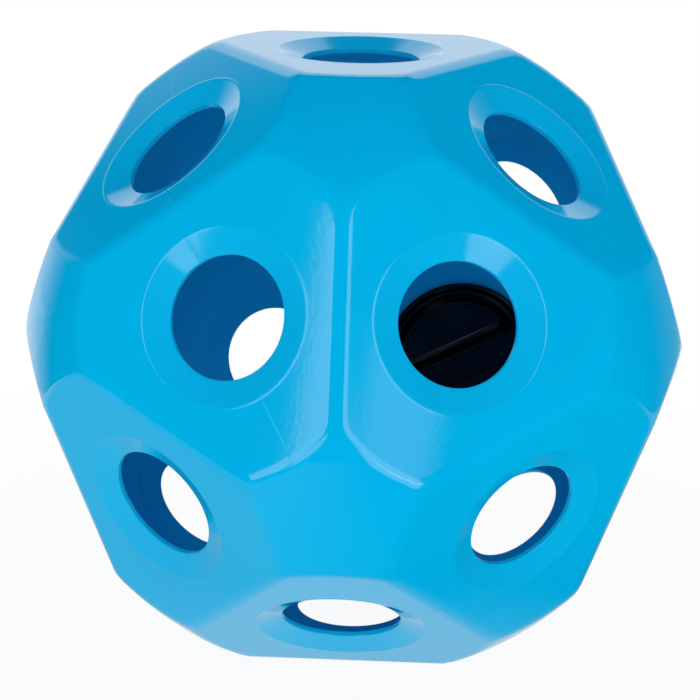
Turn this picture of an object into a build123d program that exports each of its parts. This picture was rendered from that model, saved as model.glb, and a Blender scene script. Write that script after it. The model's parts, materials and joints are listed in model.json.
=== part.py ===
"""A hollow feed ball: a twenty-faced shell with dished holes, and a screw lid in one face.

Millimetres, +Z up. The ball stands on one flat face, and the origin is the centre of that face.
The front is -Y. The lid is at the back, in the face opposite the front left one.
"""

import os
from math import acos, cos, degrees, radians, sin, sqrt

from build123d import *

# Ball shell
face_distance = 179.2  # ball centre to every flat face
corner_rise = 20.8  # rounded corners beyond the flat faces, measured along the radius
edge_radius = 15.0  # outer rounding along every edge
wall = 3.5
cut_margin = 2.0  # how far a cutting tool runs past what it cuts

# Feed holes
hole_radius = 34.0
dish_radius = 48.8
dish_depth = 5.2

# Neck ring, welded into the lid face
neck_radius = 54.6  # outside of the tube that passes through the shell
neck_wall = 2.6
neck_reach = 4.2  # tube beyond the inside of the shell
neck_flange_width = 7.2  # flange beyond the tube
neck_flange = 3.0  # flange thickness
ring_fit = 0.2  # tube to shell

# Gasket between the ring's flange and the lid
gasket_thickness = 1.6
gasket_inset = 2.4  # gasket edge inside the lid's rim
gasket_clearance = 0.2  # gasket to lid, so that the lid turns freely on it

# Screw lid
lid_rim_inset = 1.8  # lid rim inside the ring's flange
lid_plate = 3.2
lid_wall = 2.6  # skirt and finger pockets
skirt_gap = 0.7  # end of the skirt above the end of the neck tube
rim_round = 1.4
grip_width = 21.5  # grip bar, across the lid's top face
grip_turn = -31.0  # grip bar from level, in degrees about the lid's outward axis
pocket_gap = 1.2  # walls of the finger pockets to the skirt, at the lid's top face
pocket_corner = 6.0
pocket_depth = 14.4
pocket_draft = 12.0  # degrees
pocket_round = 1.2

# Thread between the neck ring and the lid
thread_starts = 3
thread_lead = 24.0  # how far the lid rises in a whole revolution
thread_rise = 6.0  # rise of each rib from end to end
thread_height = 1.6
thread_foot_width = 3.0
thread_tip_width = 1.8
thread_clearance = 0.4  # flank to flank, and tip to root
thread_sink = 0.4  # rib foot inside the wall that carries it
thread_end_gap = 2.8  # middle of a rib's low end above the end of the neck tube

# Sizes that follow from those above
ball_radius = face_distance + corner_rise
ball_centre = Vector(0, 0, face_distance)
dish_flare = (dish_radius - hole_radius) / dish_depth
neck_bore = neck_radius - neck_wall
neck_end = -(wall + neck_reach)
neck_flange_radius = neck_radius + neck_flange_width
lid_radius = neck_flange_radius - lid_rim_inset
lid_seat = neck_flange + gasket_thickness + gasket_clearance
skirt_radius = neck_bore - thread_height - thread_clearance
skirt_end = neck_end + skirt_gap
pocket_radius = skirt_radius - 2 * lid_wall - pocket_gap  # at the lid's top face


def direction(azimuth, elevation):
    """Unit vector: azimuth in degrees from the front towards +X, elevation above the horizon."""
    level = cos(radians(elevation))
    return Vector(sin(radians(azimuth)) * level, -cos(radians(azimuth)) * level, sin(radians(elevation)))


# Outward normals of the twenty faces: the top one, the three that share its edges, the six next to
# those in pairs about every third of a turn, and the opposites of all ten.
edge_tilt = degrees(acos(sqrt(5) / 3))  # between two faces that share an edge
pair_tilt = degrees(acos(1 / 3))  # between the top face and each face of a pair
pair_swing = degrees(acos((sqrt(5) / 3 - 1 / 9) / (8 / 9))) / 2  # a pair's faces either side of its middle
thirds = (0, 120, 240)  # degrees
upper_normals = [direction(0, 90)]
upper_normals += [direction(third + 60, 90 - edge_tilt) for third in thirds]
upper_normals += [direction(third + side * pair_swing, 90 - pair_tilt) for third in thirds for side in (-1, 1)]
lid_normal = -direction(-pair_swing, 90 - pair_tilt)
face_normals = upper_normals + [-normal for normal in upper_normals]
feed_normals = [normal for normal in face_normals if normal != lid_normal]


def face_plane(normal, distance):
    """Plane of a face at a distance from the ball's centre, with Z outwards."""
    return Plane(origin=ball_centre + normal * distance, z_dir=normal)


def ball_form(inset):
    """The solid ball, cut flat on twenty sides and rounded along its edges, inset from the outside."""
    with BuildPart() as form:
        with Locations(ball_centre):
            Sphere(ball_radius - inset)
        for normal in face_normals:
            split(bisect_by=face_plane(normal, face_distance - inset), keep=Keep.BOTTOM)
        fillet(form.edges(), edge_radius - inset)
    return form.part


def thread_rib(root_radius, outward):
    """One helical rib about Z whose low end is at Z = 0, standing out of its root or in from it."""
    side = 1 if outward else -1
    foot = -side * thread_sink
    tip = side * thread_height
    with BuildPart() as rib:
        with BuildLine() as path:
            Helix(pitch=thread_lead, height=thread_rise, radius=root_radius)
        with BuildSketch(Plane(origin=path.line @ 0, x_dir=(1, 0, 0), z_dir=path.line % 0)):
            with BuildLine():
                Polyline(
                    (foot, -thread_foot_width / 2),
                    (0, -thread_foot_width / 2),
                    (tip, -thread_tip_width / 2),
                    (tip, thread_tip_width / 2),
                    (0, thread_foot_width / 2),
                    (foot, thread_foot_width / 2),
                    close=True,
                )
            make_face()
        sweep(path=path.line, is_frenet=True)
    return rib.part


# At any angle a lid rib lies inwards of a ring rib by flank_step, with clearance between their flanks
rib_low = neck_end + thread_end_gap
flank_step = (thread_foot_width + thread_tip_width) / 2 + thread_clearance
flank_step -= thread_clearance * (thread_foot_width - thread_tip_width) / (2 * thread_height)
lid_rib_turn = 360 * flank_step / thread_lead

lid_centre = ball_centre + lid_normal * face_distance
lid_plane = Plane(origin=lid_centre, x_dir=lid_normal.cross(Vector(0, 0, 1)), z_dir=lid_normal)
lid_axis = Axis(lid_centre, lid_normal)
feed_seats = [face_plane(normal, face_distance).location for normal in feed_normals]
low = (Align.CENTER, Align.CENTER, Align.MIN)
high = (Align.CENTER, Align.CENTER, Align.MAX)

# Ball shell: the wall follows each dish, so that it bulges inwards round every feed hole
with BuildPart() as ball_shell:
    add(ball_form(0))
    add(ball_form(wall), mode=Mode.SUBTRACT)
    with Locations(*feed_seats):
        with Locations((0, 0, -wall - dish_depth)):
            Cone(hole_radius, dish_radius + dish_flare * wall / 2, dish_depth + wall / 2, align=low)
    with Locations(*feed_seats):
        with Locations((0, 0, -dish_depth)):
            Cone(
                hole_radius,
                dish_radius + dish_flare * cut_margin,
                dish_depth + cut_margin,
                align=low,
                mode=Mode.SUBTRACT,
            )
        with Locations((0, 0, cut_margin)):
            Cylinder(hole_radius, wall + dish_depth + 2 * cut_margin, align=high, mode=Mode.SUBTRACT)
    with Locations(lid_plane.location):
        Cylinder(neck_radius + ring_fit, 2 * (wall + cut_margin), mode=Mode.SUBTRACT)
ball_shell.part.label = "ball_shell"

# Neck ring: a flange on the lid face and a tube through it, with thread ribs on the inside of the tube
with BuildPart(lid_plane) as neck_ring:
    Cylinder(neck_flange_radius, neck_flange, align=low)
    fillet(neck_ring.faces().sort_by(lid_axis)[-1].edges(), rim_round)
    Cylinder(neck_radius, -neck_end, align=high)
    Cylinder(neck_bore, 2 * (neck_flange - neck_end), mode=Mode.SUBTRACT)
    with Locations((0, 0, rib_low)):
        with PolarLocations(0, thread_starts):
            add(thread_rib(neck_bore, outward=False))
neck_ring.part.label = "neck_ring"

# Gasket: a flat ring on the flange of the neck ring
with BuildPart(lid_plane.offset(neck_flange)) as lid_gasket:
    Cylinder(lid_radius - gasket_inset, gasket_thickness, align=low)
    Cylinder(neck_bore, 2 * (gasket_thickness + cut_margin), mode=Mode.SUBTRACT)
lid_gasket.part.label = "lid_gasket"


def half_moons(growth):
    """Outline of the two finger pockets at the lid's top face, grown all round."""
    with BuildSketch(lid_plane.offset(lid_seat + lid_plate)) as outline:
        Circle(pocket_radius + growth)
        Rectangle(
            2 * (pocket_radius + growth + cut_margin),
            grip_width - 2 * growth,
            rotation=grip_turn,
            mode=Mode.SUBTRACT,
        )
        fillet(outline.vertices(), pocket_corner + growth)
    return outline.sketch


# Screw lid: a plate with a threaded skirt, and two pockets that leave a hollow grip bar between them
with BuildPart(lid_plane) as screw_lid:
    extrude(half_moons(lid_wall), amount=-pocket_depth - lid_wall, taper=pocket_draft)
    fillet(screw_lid.faces().sort_by(lid_axis)[:2].edges(), lid_wall)
    with Locations((0, 0, lid_seat)):
        Cylinder(lid_radius, lid_plate, align=low)
    fillet(screw_lid.faces().sort_by(lid_axis)[-1].edges(), rim_round)
    extrude(half_moons(0), amount=-pocket_depth, taper=pocket_draft, mode=Mode.SUBTRACT)
    fillet(screw_lid.faces().sort_by(lid_axis)[-1].inner_wires().edges(), pocket_round)
    with BuildSketch(lid_plane.offset(lid_seat)):
        Circle(skirt_radius)
        Circle(skirt_radius - lid_wall, mode=Mode.SUBTRACT)
    extrude(amount=skirt_end - lid_seat)
    with Locations((0, 0, rib_low)):
        with PolarLocations(0, thread_starts, start_angle=lid_rib_turn):
            add(thread_rib(skirt_radius, outward=True))
screw_lid.part.label = "screw_lid"

os.makedirs("parts", exist_ok=True)
for piece in (ball_shell, neck_ring, lid_gasket, screw_lid):
    export_step(piece.part, f"parts/{piece.part.label}.step")
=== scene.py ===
"""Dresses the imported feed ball: its blown blue shell and the black screw closure in one face."""

import json
from itertools import pairwise
from math import acos, atan2, cos, pi, prod, radians, sin, sqrt, tan, tau

import bmesh
import bpy
import numpy as np
from bpy.props import FloatProperty, FloatVectorProperty, IntProperty, PointerProperty
from mathutils import Matrix, Vector


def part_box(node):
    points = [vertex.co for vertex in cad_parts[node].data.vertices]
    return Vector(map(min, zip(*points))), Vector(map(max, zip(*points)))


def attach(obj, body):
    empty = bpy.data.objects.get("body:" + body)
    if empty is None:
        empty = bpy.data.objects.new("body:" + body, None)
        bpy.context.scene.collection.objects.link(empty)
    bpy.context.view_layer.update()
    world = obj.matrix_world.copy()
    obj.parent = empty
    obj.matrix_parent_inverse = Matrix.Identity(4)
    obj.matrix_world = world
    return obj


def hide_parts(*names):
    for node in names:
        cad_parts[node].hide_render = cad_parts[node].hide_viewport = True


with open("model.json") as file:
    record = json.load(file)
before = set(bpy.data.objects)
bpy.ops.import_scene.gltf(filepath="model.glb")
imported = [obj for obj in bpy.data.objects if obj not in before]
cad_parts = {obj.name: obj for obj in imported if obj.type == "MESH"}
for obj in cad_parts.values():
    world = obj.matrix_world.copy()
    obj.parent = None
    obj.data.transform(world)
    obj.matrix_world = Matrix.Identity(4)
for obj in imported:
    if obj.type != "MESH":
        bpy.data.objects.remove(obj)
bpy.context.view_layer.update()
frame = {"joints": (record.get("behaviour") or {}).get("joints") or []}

bl_info = {
    "name": "Feed Ball",
    "version": (1, 0, 0),
    "blender": (4, 5, 0),
    "location": "View3D > Sidebar > Feed Ball",
    "description": "Builds the shell, the screw closure and the studio of a feed ball",
    "category": "Add Mesh",
}


def axes_seat(across, upwards, outwards, origin):
    """Placement at an origin, with three unit vectors as its X, Y and Z."""
    seat = Matrix((across, upwards, outwards)).transposed().to_4x4()
    seat.translation = origin
    return seat


# What the frame says: the ball's middle lies over its rest face, and the lid turns about its own axis
shell_low, shell_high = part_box("ball_shell")
ball_middle = Vector((0, 0, (shell_low.z + shell_high.z) / 2))
lid_joint = next(joint for joint in frame["joints"] if joint["name"] == "lid_turn")
lid_axis = Vector(lid_joint["axis"]).normalized()
lid_level = lid_axis.cross(Vector((0, 0, 1))).normalized()
lid_seat = axes_seat(lid_level, lid_axis.cross(lid_level), lid_axis, lid_joint["pos_m"])

white = (1, 1, 1, 1)
merge_distance = 1e-5  # vertices closer than this are one
cut_distance = 1e-6  # vertices closer than this to a cut lie on it
same_way = 0.99  # dot product above which two unit vectors are one direction
edge_tilt = acos(sqrt(5) / 3)  # between two faces that share an edge
pair_tilt = acos(1 / 3)  # between the top face and each face of a pair
pair_swing = acos((sqrt(5) / 3 - 1 / 9) / (8 / 9)) / 2  # a pair's faces either side of its middle


def length(name, default, description):
    return FloatProperty(name=name, description=description, default=default, unit="LENGTH", precision=5)


def number(name, default, low, high, description):
    return IntProperty(name=name, description=description, default=default, min=low, max=high)


def angle(name, default, description):
    return FloatProperty(name=name, description=description, default=radians(default), subtype="ANGLE")


def colour(name, default, description):
    return FloatVectorProperty(
        name=name, description=description, default=default, size=3, min=0, max=1, subtype="COLOR"
    )


def aim(name, azimuth, elevation, lean):
    return FloatVectorProperty(
        name=name,
        description="Azimuth from the front towards +X, elevation, and turn about its own axis",
        default=[radians(turn) for turn in (azimuth, elevation, lean)],
        size=3,
        subtype="EULER",
    )


def screen(name, width, height):
    return FloatVectorProperty(
        name=name, description="Width and height", default=(width, height), size=2, unit="LENGTH"
    )


def glow(name, default):
    return FloatProperty(name=name, description="Brightness, where 1 is white", default=default, min=0)


class ShellSettings(bpy.types.PropertyGroup):
    """Sizes and finish of the blown shell."""

    face_distance: length("Face distance", ball_middle.z, "Middle of the ball to every flat face")
    corner_rise: length("Corner rise", 0.0208, "Rounded corners beyond the flat faces")
    edge_radius: length("Edge radius", 0.015, "Rounding along every edge")
    wall: length("Wall", 0.0035, "Thickness of the shell")
    hole_radius: length("Hole radius", 0.034, "Feed holes")
    dish_radius: length("Dish radius", 0.0488, "Outer edge of the dish round a feed hole")
    dish_depth: length("Dish depth", 0.0052, "Depth of the dish at its hole")
    hole_round: length("Hole rounding", 0.0008, "Rounding of the trimmed hole edges")
    lip_round: length("Lip rounding", 0.0014, "Rounding where a dish meets its face on the inside")
    bead_height: length("Bead height", 0.0002, "Rise of the bead round a dish, left by the mould's insert")
    bead_width: length("Bead width", 0.0014, "Outer slope of the bead")
    bead_round: length("Bead rounding", 0.004, "Top and foot of the bead")
    fill_radius: length("Fill radius", 0.0548, "Opening in the lid face")
    line_width: length("Mould line width", 0.0006, "Width of the raised mould line")
    line_height: length("Mould line height", 0.00006, "Height of the raised mould line")
    segments: number("Segments", 96, 24, 240, "Steps round each face")
    blue: colour("Blue", (0.0, 0.415, 0.725), "Main colour of the plastic")
    deep_blue: colour("Deep blue", (0.0, 0.395, 0.71), "Colour where the pigment lies thicker")
    inner_blue: colour("Inner blue", (0.0, 0.385, 0.745), "Colour of the dull inside")


class ClosureSettings(bpy.types.PropertyGroup):
    """Sizes and finish of the neck ring, the gasket and the lid."""

    neck_radius: length("Neck radius", 0.0546, "Outside of the tube through the shell")
    neck_bore: length("Neck bore", 0.052, "Inside of the tube")
    neck_end: length("Neck end", 0.0077, "Inner end of the tube below the lid face")
    flange_radius: length("Flange radius", 0.0618, "Flange that lies on the lid face")
    flange: length("Flange thickness", 0.003, "Thickness of the flange")
    gasket_radius: length("Gasket radius", 0.0576, "Outside of the gasket")
    gasket: length("Gasket thickness", 0.0016, "Thickness of the gasket")
    lid_radius: length("Lid radius", 0.06, "Rim of the lid")
    lid_under: length("Lid underside", 0.0048, "Underside of the lid's rim above the lid face")
    lid_top: length("Lid top", 0.008, "Top of the lid above the lid face")
    lid_wall: length("Lid wall", 0.0026, "Skirt and finger pockets")
    skirt_radius: length("Skirt radius", 0.05, "Outside of the threaded skirt")
    skirt_end: length("Skirt end", 0.007, "End of the skirt below the lid face")
    pocket_radius: length("Pocket radius", 0.0436, "Finger pockets at the lid's top")
    pocket_corner: length("Pocket corner", 0.006, "Corners of the finger pockets")
    pocket_depth: length("Pocket depth", 0.0144, "Depth of the finger pockets")
    pocket_draft: angle("Pocket draft", 12, "Slope of the pocket walls")
    boss_round: length("Boss rounding", 0.0045, "Edges of the pockets on the lid's inner side")
    grip_width: length("Grip width", 0.0215, "Grip bar between the pockets")
    grip_turn: angle("Grip turn", -31, "Grip bar from level")
    rim_round: length("Rim rounding", 0.0014, "Rims of the lid and the flange")
    edge_round: length("Edge rounding", 0.0005, "Other edges of the closure")
    fillet_reach: length("Fillet reach", 0.0006, "Where the lid's underside goes flat beside a fillet")
    thread_lead: length("Thread lead", 0.024, "Rise of the thread in one turn")
    thread_rise: length("Rib rise", 0.006, "Rise of one thread rib")
    thread_height: length("Rib height", 0.0016, "How far a rib stands out of its wall")
    thread_foot: length("Rib foot", 0.003, "Width of a rib at its wall")
    thread_tip: length("Rib tip", 0.0018, "Width of a rib at its top")
    thread_low: length("Rib start", 0.0049, "Low end of a rib below the lid face")
    thread_step: length("Rib step", 0.00265, "Lid ribs inwards of the ring ribs")
    thread_starts: number("Thread starts", 3, 1, 6, "Ribs round the thread")
    segments: number("Segments", 128, 24, 360, "Steps round the closure")
    black: colour("Black", (0.004, 0.004, 0.005), "Plastic of the ring and the lid")
    rubber: colour("Rubber", (0.028, 0.027, 0.026), "Rubber of the gasket")


class StageSettings(bpy.types.PropertyGroup):
    """Camera, floor and lights."""

    azimuth: angle("Azimuth", 2.911, "Camera from the front, towards +X")
    elevation: angle("Elevation", 16.768, "Camera above the horizon")
    roll: angle("Roll", 0.937, "Camera about its line of sight")
    distance: length("Distance", 1.3488, "Camera to the middle of the ball")
    lens: FloatProperty(name="Lens", description="Focal length", default=114.35, unit="CAMERA")
    shift_x: FloatProperty(name="Shift X", description="Framing across", default=-0.00894)
    shift_y: FloatProperty(name="Shift Y", description="Framing up", default=-0.0096)
    floor_radius: length("Floor radius", 0.6, "Round table top under the ball")
    floor_segments: number("Floor segments", 128, 24, 360, "Steps round the table top")
    floor_white: colour("Floor", (0.86, 0.86, 0.86), "Colour of the floor")
    lamp_distance: length("Lamp distance", 2.0, "Softboxes from the middle of the ball")
    left_aim: aim("Left aim", -37.4, 8.6, 8.5)
    left_screen: screen("Left screen", 0.42, 1.18)
    left_glow: glow("Left glow", 2.6)
    right_aim: aim("Right aim", 30.9, 10.6, 0)
    right_screen: screen("Right screen", 0.44, 1.24)
    right_glow: glow("Right glow", 2.6)
    strip_aim: aim("Strip aim", 38.4, 13.6, -20)
    strip_screen: screen("Strip screen", 0.1, 0.5)
    strip_glow: glow("Strip glow", 1.3)
    low_left_aim: aim("Low left aim", -23.5, -3, 25)
    low_left_screen: screen("Low left screen", 0.36, 0.64)
    low_left_glow: glow("Low left glow", 2.2)
    low_right_aim: aim("Low right aim", 26, -9, -25)
    low_right_screen: screen("Low right screen", 0.68, 0.76)
    low_right_glow: glow("Low right glow", 2.2)


class Value:
    """A number on its way through a material: arithmetic on it adds Math nodes."""

    def __init__(self, shader, socket):
        self.shader = shader
        self.socket = socket

    def maths(self, operation, *terms):
        return self.shader.node("ShaderNodeMath", {"operation": operation}, dict(enumerate(terms)))

    def __add__(self, other):
        return self.maths("ADD", self, other)

    def __radd__(self, other):
        return self.maths("ADD", other, self)

    def __sub__(self, other):
        return self.maths("SUBTRACT", self, other)

    def __rsub__(self, other):
        return self.maths("SUBTRACT", other, self)

    def __mul__(self, other):
        return self.maths("MULTIPLY", self, other)

    def __rmul__(self, other):
        return self.maths("MULTIPLY", other, self)

    def largest(self, other):
        return self.maths("MAXIMUM", self, other)


class Shader:
    """The nodes of one material or of the world."""

    def __init__(self, owner):
        owner.use_nodes = True
        self.tree = owner.node_tree
        self.tree.nodes.clear()

    def node(self, kind, settings=None, inputs=None, output=0):
        """Adds a node: its settings first, then its sockets, and returns one of its outputs."""
        made = self.tree.nodes.new(kind)
        for name, value in (settings or {}).items():
            setattr(made, name, value)
        for name, value in (inputs or {}).items():
            if isinstance(value, Value):
                self.tree.links.new(value.socket, made.inputs[name])
            else:
                made.inputs[name].default_value = value
        return Value(self, made.outputs[output]) if made.outputs else None

    def noise(self, place, scale, detail=2.0):
        return self.node("ShaderNodeTexNoise", None, {"Vector": place, "Scale": scale, "Detail": detail})

    def mark(self, name):
        """A share that is kept on the vertices."""
        return self.node("ShaderNodeAttribute", {"attribute_name": name}, output="Fac")

    def ramp(self, value, low, high):
        """0 below low, 1 above high, smooth between."""
        sockets = {"Value": value, "From Min": low, "From Max": high}
        return self.node("ShaderNodeMapRange", {"interpolation_type": "SMOOTHSTEP"}, sockets)

    def bump(self, height, strength, distance):
        sockets = {"Height": height, "Strength": strength, "Distance": distance}
        return self.node("ShaderNodeBump", None, sockets)

    def mix(self, share, first, second):
        """A colour between two."""
        sockets = {"Factor": share, 6: first, 7: second}
        return self.node("ShaderNodeMix", {"data_type": "RGBA"}, sockets, output=2)


def opaque(rgb, gain=1.0):
    """A colour for a socket, with its brightness times a gain."""
    return (*[gain * part for part in rgb], 1.0)


def shell_finish(shell):
    """Glossy blown plastic: even blue with a little orange peel, faint scuffs and pigment clouds."""
    skin_rough = 0.03
    cloud_rough = 0.03  # what clouds, scuffs and the dishes add to the skin's roughness
    scuff_rough = 0.06
    dish_rough = 0.045
    inner_rough = 0.5
    inner_cloud_rough = 0.2
    grain_share = 0.25  # height of the fine grain beside that of the orange peel
    material = bpy.data.materials.new("blown_blue_plastic")
    shader = Shader(material)
    place = shader.node("ShaderNodeTexCoord", output="Object")
    clouds = shader.noise(place, scale=9.0)
    peel = shader.noise(place, scale=420.0)
    grain = shader.noise(place, scale=2100.0, detail=1.0)
    drawn_out = shader.node(
        "ShaderNodeMapping",
        None,
        {"Vector": place, "Rotation": (0.4, 0.9, 0.3), "Scale": (14.0, 900.0, 14.0)},
    )
    scratches = shader.ramp(shader.noise(drawn_out, scale=1.0, detail=3.0), low=0.68, high=0.76)
    rubbed = shader.ramp(shader.noise(place, scale=16.0), low=0.5, high=0.68)
    scuffs = scratches * rubbed
    inside = shader.mark("inside")
    dish = shader.mark("dish")
    thicker = shader.ramp(clouds, low=0.3, high=0.7)
    relief = peel + grain * grain_share
    outer = shader.node(
        "ShaderNodeBsdfPrincipled",
        None,
        {
            "Base Color": shader.mix(thicker, opaque(shell.blue), opaque(shell.deep_blue)),
            "Roughness": skin_rough + clouds * cloud_rough + scuffs * scuff_rough + dish * dish_rough,
            "IOR": 1.45,
            "Normal": shader.bump(relief, strength=0.03, distance=0.0004),
        },
    )
    inner = shader.node(
        "ShaderNodeBsdfPrincipled",
        None,
        {
            "Base Color": opaque(shell.inner_blue),
            "Roughness": inner_rough + clouds * inner_cloud_rough,
            "IOR": 1.2,
        },
    )
    surface = shader.node("ShaderNodeMixShader", None, {0: inside, 1: outer, 2: inner})
    shader.node("ShaderNodeOutputMaterial", None, {"Surface": surface})
    return material


def closure_finish(closure):
    """Black moulded plastic with a fine satin grain and a few worn patches."""
    skin_rough = 0.05
    worn_rough = 0.06  # what wear adds to the skin's roughness
    material = bpy.data.materials.new("black_moulded_plastic")
    shader = Shader(material)
    place = shader.node("ShaderNodeTexCoord", output="Object")
    grain = shader.noise(place, scale=2600.0, detail=1.0)
    worn = shader.ramp(shader.noise(place, scale=30.0), low=0.45, high=0.75)
    plastic = shader.node(
        "ShaderNodeBsdfPrincipled",
        None,
        {
            "Base Color": shader.mix(worn, opaque(closure.black), opaque(closure.black, gain=2.2)),
            "Roughness": skin_rough + worn * worn_rough,
            "IOR": 1.34,
            "Normal": shader.bump(grain, strength=0.08, distance=0.0002),
        },
    )
    shader.node("ShaderNodeOutputMaterial", None, {"Surface": plastic})
    return material


def gasket_finish(closure):
    """Dull black rubber with a powdery bloom."""
    skin_rough = 0.7
    bloom_rough = 0.15  # what the bloom adds to the skin's roughness
    material = bpy.data.materials.new("gasket_rubber")
    shader = Shader(material)
    place = shader.node("ShaderNodeTexCoord", output="Object")
    bloom = shader.ramp(shader.noise(place, scale=90.0, detail=4.0), low=0.4, high=0.8)
    grain = shader.noise(place, scale=1500.0)
    rubber = shader.node(
        "ShaderNodeBsdfPrincipled",
        None,
        {
            "Base Color": shader.mix(bloom, opaque(closure.rubber), opaque(closure.rubber, gain=2.0)),
            "Roughness": skin_rough + bloom * bloom_rough,
            "Normal": shader.bump(grain, strength=0.2, distance=0.0002),
        },
    )
    shader.node("ShaderNodeOutputMaterial", None, {"Surface": rubber})
    return material


def add_piece(bm, name, node, body, finish):
    """Makes a bmesh the piece that stands for a CAD node and rides on its body."""
    bmesh.ops.remove_doubles(bm, verts=bm.verts, dist=merge_distance)
    bmesh.ops.recalc_face_normals(bm, faces=bm.faces)
    for face in bm.faces:
        face.smooth = True
    mesh = bpy.data.meshes.new(name)
    bm.to_mesh(mesh)
    bm.free()
    mesh.materials.append(finish)
    piece = bpy.data.objects.new(name, mesh)
    bpy.context.scene.collection.objects.link(piece)
    shading = piece.modifiers.new("even_shading", "WEIGHTED_NORMAL")
    shading.keep_sharp = True
    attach(piece, body)
    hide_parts(node)


def arc(middle, radius, start, end, steps):
    """Points along an arc, both ends included."""
    turns = [start + (end - start) * step / steps for step in range(steps + 1)]
    return [(middle[0] + radius * cos(turn), middle[1] + radius * sin(turn)) for turn in turns]


def rounded(corners, steps=4):
    """Open outline through (x, y, radius) corners: each radius turns its corner into an arc."""
    points = [Vector(corner[:2]) for corner in corners]
    outline = [tuple(points[0])]
    for before, here, after, corner in zip(points, points[1:], points[2:], corners[1:]):
        inwards = (before - here).normalized()
        onwards = (after - here).normalized()
        half = inwards.angle(onwards) / 2
        middle = here + (inwards + onwards).normalized() * corner[2] / sin(half)
        first = here + inwards * corner[2] / tan(half) - middle
        last = here + onwards * corner[2] / tan(half) - middle
        start = atan2(first.y, first.x)
        sweep = (atan2(last.y, last.x) - start + pi) % tau - pi
        outline += arc(middle, corner[2], start, start + sweep, steps)
    outline.append(tuple(points[-1]))
    return outline


def direction(azimuth, elevation):
    """Unit vector: azimuth from the front towards +X, elevation above the horizon."""
    level = cos(elevation)
    return Vector((sin(azimuth) * level, -cos(azimuth) * level, sin(elevation)))


def face_normals():
    """Outward normals: the top face, the three that share its edges, the six in pairs, and the opposites."""
    thirds = [third * tau / 3 for third in range(3)]
    upper = [direction(0, pi / 2)]
    upper += [direction(third + tau / 6, pi / 2 - edge_tilt) for third in thirds]
    for third in thirds:
        upper += [direction(third + side * pair_swing, pi / 2 - pair_tilt) for side in (-1, 1)]
    return upper + [-normal for normal in upper]


class FaceSkin:
    """The surface over one face, about its axis as Z, with an edge to a neighbour towards +X.

    The ball is every point within a rounding of its core, the sharp ball inset by the edge radius, so the
    outer skin and the inner skin are the same core with two roundings.
    """

    sweeps = 80  # rounds of projections that find a nearest point of the core
    strides = 8  # steps that find where a ray meets the skin

    def __init__(self, shell):
        self.face = shell.face_distance
        self.edge_radius = shell.edge_radius
        self.core_height = self.face - self.edge_radius
        self.core_radius = self.core_height + shell.corner_rise
        self.turns = np.arange(shell.segments) * tau / shell.segments
        self.planes = [np.array((0.0, 0.0, 1.0))]
        sideways = sin(edge_tilt)
        for third in range(3):
            turn = third * tau / 3
            self.planes.append(np.array((sideways * cos(turn), sideways * sin(turn), cos(edge_tilt))))

    def nearest(self, points):
        """Nearest points of the core, by alternating projections onto its planes and its ball."""
        found = points.copy()
        owed = np.zeros((len(self.planes) + 1, *points.shape))
        for sweep in range(self.sweeps):
            for index, normal in enumerate(self.planes):
                trial = found + owed[index]
                over = np.clip(trial @ normal - self.core_height, 0, None)
                found = trial - over[:, None] * normal
                owed[index] = trial - found
            trial = found + owed[-1]
            reach = np.linalg.norm(trial, axis=1, keepdims=True)
            found = trial * np.minimum(1, self.core_radius / reach)
            owed[-1] = trial - found
        return found

    def place(self, spreads, inset):
        """Rings of points on the skin, from spreads in the face's plane as seen from the middle."""
        rounding = self.edge_radius - inset
        across = spreads[..., None] * np.stack((np.cos(self.turns), np.sin(self.turns)), axis=-1)
        rays = np.concatenate((across, np.full((*spreads.shape, 1), self.face)), axis=-1).reshape(-1, 3)
        rays /= np.linalg.norm(rays, axis=1, keepdims=True)
        reach = np.full(len(rays), self.core_radius + self.edge_radius)
        for stride in range(self.strides):
            away = rays * reach[:, None]
            away = away - self.nearest(away)
            gap = np.linalg.norm(away, axis=1)
            reach -= (gap - rounding) * gap / (away * rays).sum(axis=1)
        return (rays * reach[:, None]).reshape(*spreads.shape, 3)

    def rings(self, start, inset, flat, bend, corner):
        """Rings from a circle about the hole out to the lines where the face meets its neighbours.

        Flat, bend and corner are the places of the rings on these three stretches, as shares of each.
        """
        bend_limit = 0.985  # share of the way to the border at which the bend ends, even without a corner
        fold = (self.turns + pi / 3) % (tau / 3) - pi / 3
        widen = self.face / (self.face - inset)
        border = self.face * tan(edge_tilt / 2) / np.cos(fold)
        flat_radius = sqrt(self.core_radius**2 - self.core_height**2)
        flat_end = np.minimum(flat_radius, self.core_height * tan(edge_tilt / 2) / np.cos(fold)) * widen
        bend_end = np.minimum(flat_radius * self.face / self.core_height, border * bend_limit)
        stretches = (
            (np.full_like(fold, start * widen), flat_end, flat),
            (flat_end, bend_end, bend),
            (bend_end, border, corner),
        )
        spreads = [low + (high - low) * share for low, high, shares in stretches for share in shares]
        return self.place(np.array(spreads), inset)

    def circles(self, profile):
        """Circles about the axis, from (radius, height above the face) points."""
        circles = []
        for radius, height in profile:
            across = radius * np.cos(self.turns)
            along = radius * np.sin(self.turns)
            level = np.full_like(self.turns, self.face + height)
            circles.append(np.stack((across, along, level), axis=-1))
        return np.array(circles)


def even(count):
    """Shares of a stretch at even steps, without its start."""
    return [step / count for step in range(1, count + 1)]


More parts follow.
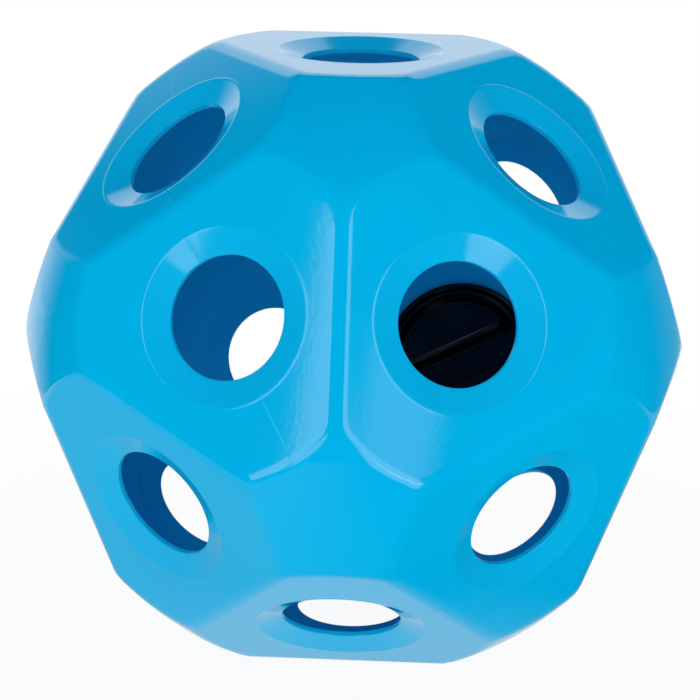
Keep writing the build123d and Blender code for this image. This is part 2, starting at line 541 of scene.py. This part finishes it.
def dish_profiles(shell):
    """(Radius, height) outlines round a feed hole, inside and outside, which meet halfway up its edge."""
    arc_steps = 3
    halfway = (shell.hole_radius, -shell.dish_depth - shell.wall / 2)
    inner = [
        (shell.dish_radius + shell.lip_round, -shell.wall),
        (shell.dish_radius, -shell.wall, shell.lip_round),
        (shell.hole_radius, -shell.wall - shell.dish_depth, shell.hole_round),
        halfway,
    ]
    outer = [
        halfway,
        (shell.hole_radius, -shell.dish_depth, shell.hole_round),
        (shell.dish_radius, shell.bead_height, shell.bead_round),
        (shell.dish_radius + shell.bead_width, 0, shell.bead_round),
        (shell.dish_radius + 2 * shell.bead_width, 0),
    ]
    return rounded(inner, arc_steps), rounded(outer, arc_steps)[1:]


def fill_profiles(shell):
    """The same outlines round the opening in the lid face."""
    halfway = (shell.fill_radius, -shell.wall / 2)
    end = shell.fill_radius + 2 * shell.hole_round
    inner = [(end, -shell.wall), (shell.fill_radius, -shell.wall, shell.hole_round), halfway]
    outer = [halfway, (shell.fill_radius, 0, shell.hole_round), (end, 0)]
    return rounded(inner), rounded(outer)[1:]


def face_rings(shell, inner_profile, outer_profile):
    """Rings of a face from its inner border to halfway up its hole's edge, and on to its outer border."""
    skin = FaceSkin(shell)
    inner = skin.rings(inner_profile[0][0], shell.wall, flat=[0.5, 1.0], bend=even(4), corner=even(4))
    outer = skin.rings(outer_profile[-1][0], 0.0, flat=[0.3, 0.65, 0.97, 1.0], bend=even(7), corner=even(7))
    inner = np.concatenate((inner[::-1], skin.circles(inner_profile)))
    outer = np.concatenate((skin.circles(outer_profile), outer))
    return inner, outer


def face_seat(normal, normals):
    """Placement at the ball's middle, with a face's normal as Z and one of its neighbours towards +X."""
    neighbour = max((other for other in normals if other.dot(normal) < same_way), key=normal.dot)
    towards = (neighbour - normal * neighbour.dot(normal)).normalized()
    return axes_seat(towards, normal.cross(towards), normal, ball_middle)


def wrap_grid(bm, rings, seat):
    """Wraps a grid into a tube through closed rings of points, and returns the vertices of each ring."""
    rows, columns = rings.shape[:2]
    loops = [[] for row in range(rows)]
    for vert in bmesh.ops.create_grid(bm, x_segments=columns, y_segments=rows - 1, size=1.0)["verts"]:
        column = round((vert.co.x + 1) / 2 * columns) % columns
        row = round((vert.co.y + 1) / 2 * (rows - 1))
        vert.co = seat @ Vector(rings[row, column])
        loops[row].append(vert)
    return loops


def add_face(bm, inner, outer, seat, dish_radius):
    """Lays a face's rings over the ball, and marks its inner skin and its dish."""
    inside = bm.verts.layers.float["inside"]
    dish = bm.verts.layers.float["dish"]
    rings = np.concatenate((inner, outer))
    for row, loop in enumerate(wrap_grid(bm, rings, seat)):
        radius = np.hypot(*rings[row, 0, :2])
        for vert in loop:
            vert[inside] = float(row < len(inner))
            vert[dish] = float(radius < dish_radius - merge_distance)


def raise_mould_line(bm, shell, normal):
    """Lifts a fine ridge where the two halves of the mould met, a little rough where flash was left."""
    outside_limit = 0.7  # dot product with the way out from the middle, above which a face is on the outside
    flash_waves = ((31, 0), (19, 1), (7, 2))  # waves in a turn and where each starts
    flash_gain = 8  # height of the roughest flash beside that of the line
    foot = shell.line_width / 2

    def outside(thing, spot):
        return thing.normal.dot((spot - ball_middle).normalized()) > outside_limit

    for side in (-1, 1):
        faces = [face for face in bm.faces if outside(face, face.calc_center_median())]
        edges = dict.fromkeys(edge for face in faces for edge in face.edges)
        verts = dict.fromkeys(vert for face in faces for vert in face.verts)
        bmesh.ops.bisect_plane(
            bm,
            geom=[*verts, *edges, *faces],
            dist=cut_distance,
            plane_co=ball_middle + normal * side * foot,
            plane_no=normal,
        )
    bm.normal_update()
    # The cut edges are sharp, so that the flats beside the line keep their own shading
    for edge in bm.edges:
        heights = [abs((vert.co - ball_middle).dot(normal)) for vert in edge.verts]
        edge.smooth = any(abs(height - foot) > merge_distance for height in heights)
    level = normal.orthogonal().normalized()
    upright = normal.cross(level)
    for vert in bm.verts:
        spot = vert.co - ball_middle
        if abs(spot.dot(normal)) < merge_distance and outside(vert, vert.co):
            turn = atan2(spot.dot(upright), spot.dot(level))
            flash = max(0, prod(sin(waves * turn + start) for waves, start in flash_waves)) ** 2
            vert.co += vert.normal * shell.line_height * (1 + flash_gain * flash)


class FEEDBALL_OT_shell(bpy.types.Operator):
    """Build the blown shell with its dished feed holes and its mould line"""

    bl_idname = "feedball.shell"
    bl_label = "Shell"

    def execute(self, context):
        shell = context.scene.feed_ball_shell
        feed_rings = face_rings(shell, *dish_profiles(shell))
        fill_rings = face_rings(shell, *fill_profiles(shell))
        normals = face_normals()
        bm = bmesh.new()
        for mark in ("inside", "dish"):
            bm.verts.layers.float.new(mark)
        for normal in normals:
            inner, outer = fill_rings if normal.dot(lid_axis) > same_way else feed_rings
            add_face(bm, inner, outer, face_seat(normal, normals), shell.dish_radius)
        bmesh.ops.remove_doubles(bm, verts=bm.verts, dist=merge_distance)
        bmesh.ops.recalc_face_normals(bm, faces=bm.faces)
        upper_left = direction(-tau / 6, pi / 2 - edge_tilt)
        raise_mould_line(bm, shell, upper_left.cross(-lid_axis).normalized())
        add_piece(bm, "blown_shell", "ball_shell", "ball", shell_finish(shell))
        return {"FINISHED"}


def lathe(bm, profile, segments, closed):
    """Spins a (radius, height) profile about Z."""
    verts = [bm.verts.new((radius, 0, height)) for radius, height in profile]
    edges = [bm.edges.new(pair) for pair in pairwise(verts)]
    if closed:
        edges.append(bm.edges.new((verts[-1], verts[0])))
    bmesh.ops.spin(
        bm,
        geom=[*verts, *edges],
        cent=(0, 0, 0),
        axis=(0, 0, 1),
        angle=tau,
        steps=segments,
        use_merge=True,
    )


def thread_ribs(bm, closure, root, side, start):
    """Helical ribs out of a wall at the root radius, outwards for side 1 and inwards for side -1."""
    foot = closure.thread_foot / 2
    tip = closure.thread_tip / 2
    sink = closure.edge_round
    top = root + side * closure.thread_height
    section = [(root - side * sink, -foot), (root, -foot), (top, -tip), (top, tip), (root, foot)]
    section.append((root - side * sink, foot))
    steps = closure.segments // 4
    for rib in range(closure.thread_starts):
        spin = Matrix.Rotation(start + rib * tau / closure.thread_starts, 4, "Z")
        drop = Vector((0, 0, -closure.thread_low))
        verts = [bm.verts.new(spin @ (Vector((radius, 0, height)) + drop)) for radius, height in section]
        start_edges = [bm.edges.new(pair) for pair in pairwise(verts + verts[:1])]
        made = bmesh.ops.spin(
            bm,
            geom=[*verts, *start_edges],
            cent=(0, 0, 0),
            axis=(0, 0, 1),
            dvec=(0, 0, closure.thread_rise / steps),
            angle=tau * closure.thread_rise / closure.thread_lead,
            steps=steps,
        )
        end_edges = [item for item in made["geom_last"] if isinstance(item, bmesh.types.BMEdge)]
        bmesh.ops.edgeloop_fill(bm, edges=start_edges)
        bmesh.ops.edgeloop_fill(bm, edges=end_edges)


class FEEDBALL_OT_neck_ring(bpy.types.Operator):
    """Build the threaded ring that is welded into the lid face"""

    bl_idname = "feedball.neck_ring"
    bl_label = "Neck ring"

    def execute(self, context):
        closure = context.scene.feed_ball_closure
        middle = (closure.neck_bore + closure.neck_radius) / 2
        small = closure.edge_round
        profile = rounded(
            [
                (middle, -closure.neck_end),
                (closure.neck_radius, -closure.neck_end, small),
                (closure.neck_radius, 0, small / 2),
                (closure.flange_radius, 0, small / 2),
                (closure.flange_radius, closure.flange, closure.rim_round),
                (closure.neck_bore, closure.flange, small),
                (closure.neck_bore, -closure.neck_end, small),
                (middle, -closure.neck_end),
            ]
        )
        bm = bmesh.new()
        lathe(bm, profile[:-1], closure.segments, closed=True)
        thread_ribs(bm, closure, closure.neck_bore, -1, 0)
        bmesh.ops.transform(bm, matrix=lid_seat, verts=bm.verts)
        add_piece(bm, "welded_neck_ring", "neck_ring", "ball", closure_finish(closure))
        return {"FINISHED"}


class FEEDBALL_OT_gasket(bpy.types.Operator):
    """Build the rubber ring between the flange and the lid"""

    bl_idname = "feedball.gasket"
    bl_label = "Gasket"

    def execute(self, context):
        closure = context.scene.feed_ball_closure
        low, high = closure.flange, closure.flange + closure.gasket
        middle = (closure.neck_bore + closure.gasket_radius) / 2
        profile = rounded(
            [
                (middle, low),
                (closure.gasket_radius, low, closure.edge_round),
                (closure.gasket_radius, high, closure.edge_round),
                (closure.neck_bore, high, closure.edge_round),
                (closure.neck_bore, low, closure.edge_round),
                (middle, low),
            ]
        )
        bm = bmesh.new()
        lathe(bm, profile[:-1], closure.segments, closed=True)
        bmesh.ops.transform(bm, matrix=lid_seat, verts=bm.verts)
        add_piece(bm, "rubber_gasket", "lid_gasket", "gasket", gasket_finish(closure))
        return {"FINISHED"}


def half_moon(closure, growth):
    """Outline of one finger pocket beyond +Y of the grip bar, grown all round."""
    radius = closure.pocket_radius + growth
    corner = closure.pocket_corner + growth
    height = closure.grip_width / 2 - growth + corner
    middle = sqrt((radius - corner) ** 2 - height**2)
    turn = atan2(height, middle)
    round_steps = closure.segments // 2
    corner_steps = closure.segments // 12
    outline = arc((middle, height), corner, -pi / 2, turn, corner_steps)
    outline += arc((0, 0), radius, turn, pi - turn, round_steps)[1:]
    outline += arc((-middle, height), corner, pi - turn, 3 * pi / 2, corner_steps)[1:]
    return outline


def sink_half_moons(bm, closure, profile):
    """Two half-moons that run inwards and down along a profile of (inset, height) points to a floor."""
    rings = np.array([[(*spot, height) for spot in half_moon(closure, -inset)] for inset, height in profile])
    for half_turn in (0, pi):
        spin = Matrix.Rotation(closure.grip_turn + half_turn, 4, "Z")
        wrap_grid(bm, rings, spin)
        floor = bmesh.ops.create_circle(bm, cap_ends=True, segments=rings.shape[1], radius=1)["verts"]
        for vert, spot in zip(floor, rings[-1]):
            vert.co = spin @ Vector(spot)
    bmesh.ops.remove_doubles(bm, verts=bm.verts, dist=merge_distance)


def close_level(bm, height):
    """Fills the flat between the open loops at one height."""
    edges = [
        edge
        for edge in bm.edges
        if edge.is_boundary and all(abs(vert.co.z - height) < merge_distance for vert in edge.verts)
    ]
    bmesh.ops.triangle_fill(bm, edges=edges, use_beauty=True)


def rim_profile(closure):
    """(Radius, height) outline of the lid's rim and skirt, from its top round to its underside."""
    small = closure.edge_round
    inside = closure.skirt_radius - closure.lid_wall
    return rounded(
        [
            (closure.lid_radius - 2 * closure.rim_round, closure.lid_top),
            (closure.lid_radius, closure.lid_top, closure.rim_round),
            (closure.lid_radius, closure.lid_under, small),
            (closure.skirt_radius, closure.lid_under, small),
            (closure.skirt_radius, -closure.skirt_end, small),
            (inside, -closure.skirt_end, small),
            (inside, closure.lid_under, small),
            (inside - closure.fillet_reach, closure.lid_under),
        ]
    )


def pocket_profile(closure):
    """(Inset, height) outline of a finger pocket, from the lid's top to the pocket's floor."""
    mouth_round = closure.rim_round
    floor_round = 2 * closure.edge_round
    floor = closure.lid_top - closure.pocket_depth
    run_in = closure.pocket_depth * tan(closure.pocket_draft)
    return rounded(
        [
            (-2 * mouth_round, closure.lid_top),
            (0, closure.lid_top, mouth_round),
            (run_in, floor, floor_round),
            (run_in + 2 * floor_round, floor),
        ]
    )


def boss_profile(closure):
    """(Inset, height) outline of a pocket's other side, from the lid's underside to its inner end."""
    arc_steps = 8
    slope = tan(closure.pocket_draft)
    end = closure.lid_top - closure.pocket_depth - closure.lid_wall
    near = -closure.lid_wall + (closure.lid_top - closure.lid_under) * slope
    far = -closure.lid_wall + (closure.lid_top - end) * slope
    corners = [
        (near - closure.fillet_reach, closure.lid_under),
        (near, closure.lid_under, closure.edge_round),
        (far, end, closure.boss_round),
        (far + closure.boss_round, end),
    ]
    return rounded(corners, arc_steps)


class FEEDBALL_OT_lid(bpy.types.Operator):
    """Build the screw lid with its skirt, thread, grip bar and finger pockets"""

    bl_idname = "feedball.lid"
    bl_label = "Screw lid"

    def execute(self, context):
        closure = context.scene.feed_ball_closure
        bm = bmesh.new()
        lathe(bm, rim_profile(closure), closure.segments, closed=False)
        sink_half_moons(bm, closure, pocket_profile(closure))
        sink_half_moons(bm, closure, boss_profile(closure))
        close_level(bm, closure.lid_top)
        close_level(bm, closure.lid_under)
        start = tau * closure.thread_step / closure.thread_lead
        thread_ribs(bm, closure, closure.skirt_radius, 1, start)
        bmesh.ops.transform(bm, matrix=lid_seat, verts=bm.verts)
        add_piece(bm, "finger_grip_lid", "screw_lid", "lid", closure_finish(closure))
        return {"FINISHED"}


def backdrop_rays(shader):
    """Each is 1 for rays that show the white surroundings: seen, reflected, or through glass."""
    kinds = ("Is Camera Ray", "Is Glossy Ray", "Is Transmission Ray")
    return [shader.node("ShaderNodeLightPath", output=kind) for kind in kinds]


def floor_finish(stage):
    """Pale table top that fades into the white surroundings and keeps a soft shadow."""
    shadow_share = 0.07  # how much of the shadow shows near the ball
    near_level = 0.85  # brightness of the floor by the ball, as the ball reflects it
    left_dim = 0.45  # how much darker that is further out to the left
    right_dim = 0.4  # and how much darker still to the right
    back_lift = 0.5  # how much brighter it is behind the ball
    material = bpy.data.materials.new("pale_floor")
    shader = Shader(material)
    seen, gleam, through = backdrop_rays(shader)
    place = shader.node("ShaderNodeTexCoord", output="Object")
    reach = shader.node("ShaderNodeVectorMath", {"operation": "LENGTH"}, {0: place}, output="Value")
    side, depth = [shader.node("ShaderNodeSeparateXYZ", None, {0: place}, output=axis) for axis in ("X", "Y")]
    fade = shader.ramp(reach, low=0.4 * stage.floor_radius, high=0.95 * stage.floor_radius)
    far = shader.ramp(reach, low=0.11, high=0.2)
    right = shader.ramp(side, low=-0.2, high=0.1)
    behind = shader.ramp(depth, low=-0.05, high=0.1)
    level = near_level - far * (left_dim + right * right_dim) + behind * back_lift
    strength = seen + through + gleam * level
    share = (seen + through) * (1 - shadow_share + fade * shadow_share) + gleam
    paint = shader.node("ShaderNodeBsdfDiffuse", None, {"Color": opaque(stage.floor_white)})
    shine = shader.node("ShaderNodeEmission", None, {"Color": white, "Strength": strength})
    surface = shader.node("ShaderNodeMixShader", None, {0: share, 1: paint, 2: shine})
    shader.node("ShaderNodeOutputMaterial", None, {"Surface": surface})
    return material


def studio_world():
    """White surroundings where they are seen, a white wall behind the ball, and even light from all round."""
    wall_level = 1.15  # brightness of the wall, as the ball reflects it
    right_dim = 0.9  # how much darker that is to the right
    even_level = 0.96
    top_dim = 0.26  # how much dimmer the even light is from straight above
    cool_white = (0.8, 0.84, 1, 1)  # colour of the even light from straight above
    world = bpy.data.worlds.new("studio")
    shader = Shader(world)
    seen, gleam, through = backdrop_rays(shader)
    way = shader.node("ShaderNodeTexCoord", output="Generated")
    side, depth, height = [
        shader.node("ShaderNodeSeparateXYZ", None, {0: way}, output=axis) for axis in ("X", "Y", "Z")
    ]
    wall = shader.ramp(depth, low=0.7, high=0.765)
    table = shader.ramp(depth, low=0.48, high=0.78) * (1 - shader.ramp(height, low=0.25, high=0.36))
    reflected = wall.largest(table) * (wall_level - shader.ramp(side, low=0.3, high=0.7) * right_dim)
    even_light = even_level - shader.ramp(height, low=0.0, high=1.0) * top_dim
    direct = seen + through
    scattered = 1 - direct - gleam
    strength = direct + gleam * reflected + scattered * even_light
    cool = shader.ramp(height, low=0.1, high=1.0) * scattered
    light = shader.node(
        "ShaderNodeBackground", None, {"Color": shader.mix(cool, white, cool_white), "Strength": strength}
    )
    shader.node("ShaderNodeOutputWorld", None, {"Surface": light})
    return world


def add_camera(stage):
    """A camera that looks at the middle of the ball."""
    back = direction(stage.azimuth, stage.elevation)
    right = Vector((cos(stage.azimuth), sin(stage.azimuth), 0))
    across = right * cos(stage.roll) + back.cross(right) * sin(stage.roll)
    camera = bpy.data.objects.new("camera", bpy.data.cameras.new("camera"))
    camera.matrix_world = axes_seat(across, back.cross(across), back, ball_middle + back * stage.distance)
    camera.data.lens = stage.lens
    camera.data.shift_x = stage.shift_x
    camera.data.shift_y = stage.shift_y
    bpy.context.scene.collection.objects.link(camera)
    bpy.context.scene.camera = camera


def add_floor(stage):
    """A round table top under the ball."""
    bm = bmesh.new()
    bmesh.ops.create_circle(bm, cap_ends=True, segments=stage.floor_segments, radius=stage.floor_radius)
    mesh = bpy.data.meshes.new("floor")
    bm.to_mesh(mesh)
    bm.free()
    mesh.materials.append(floor_finish(stage))
    floor = bpy.data.objects.new("floor", mesh)
    floor.visible_diffuse = False
    bpy.context.scene.collection.objects.link(floor)


def add_softbox(stage, name):
    """A softbox that faces the middle of the ball."""
    azimuth, elevation, lean = getattr(stage, f"{name}_aim")
    width, height = getattr(stage, f"{name}_screen")
    lamp = bpy.data.lights.new(f"{name}_softbox", "AREA")
    lamp.shape = "RECTANGLE"
    lamp.size = width
    lamp.size_y = height
    lamp.energy = pi * width * height * getattr(stage, f"{name}_glow")
    away = direction(azimuth, elevation)
    level = Vector((0, 0, 1)).cross(away).normalized()
    seat = axes_seat(level, away.cross(level), away, ball_middle + away * stage.lamp_distance)
    softbox = bpy.data.objects.new(lamp.name, lamp)
    softbox.matrix_world = seat @ Matrix.Rotation(lean, 4, "Z")
    softbox.visible_camera = False
    bpy.context.scene.collection.objects.link(softbox)


class FEEDBALL_OT_stage(bpy.types.Operator):
    """Set the camera, the floor and the studio lights"""

    bl_idname = "feedball.stage"
    bl_label = "Stage"

    def execute(self, context):
        stage = context.scene.feed_ball_stage
        add_camera(stage)
        add_floor(stage)
        for name in ("left", "right", "strip", "low_left", "low_right"):
            add_softbox(stage, name)
        context.scene.world = studio_world()
        context.scene.view_settings.view_transform = "Standard"
        return {"FINISHED"}


class FEEDBALL_PT_panel(bpy.types.Panel):
    """Lists the steps that build the feed ball"""

    bl_idname = "FEEDBALL_PT_panel"
    bl_label = "Feed Ball"
    bl_space_type = "VIEW_3D"
    bl_region_type = "UI"
    bl_category = "Feed Ball"

    def draw(self, context):
        for step in build_steps:
            self.layout.operator(step.bl_idname)


setting_groups = {
    "feed_ball_shell": ShellSettings,
    "feed_ball_closure": ClosureSettings,
    "feed_ball_stage": StageSettings,
}
build_steps = (
    FEEDBALL_OT_shell,
    FEEDBALL_OT_neck_ring,
    FEEDBALL_OT_gasket,
    FEEDBALL_OT_lid,
    FEEDBALL_OT_stage,
)
classes = (*setting_groups.values(), *build_steps, FEEDBALL_PT_panel)


def register():
    for kind in classes:
        bpy.utils.register_class(kind)
    for name, kind in setting_groups.items():
        setattr(bpy.types.Scene, name, PointerProperty(type=kind))


def unregister():
    for name in setting_groups:
        delattr(bpy.types.Scene, name)
    for kind in reversed(classes):
        bpy.utils.unregister_class(kind)


def main():
    register()
    bpy.ops.feedball.shell()
    bpy.ops.feedball.neck_ring()
    bpy.ops.feedball.gasket()
    bpy.ops.feedball.lid()
    bpy.ops.feedball.stage()


if __name__ == "__main__":
    main()
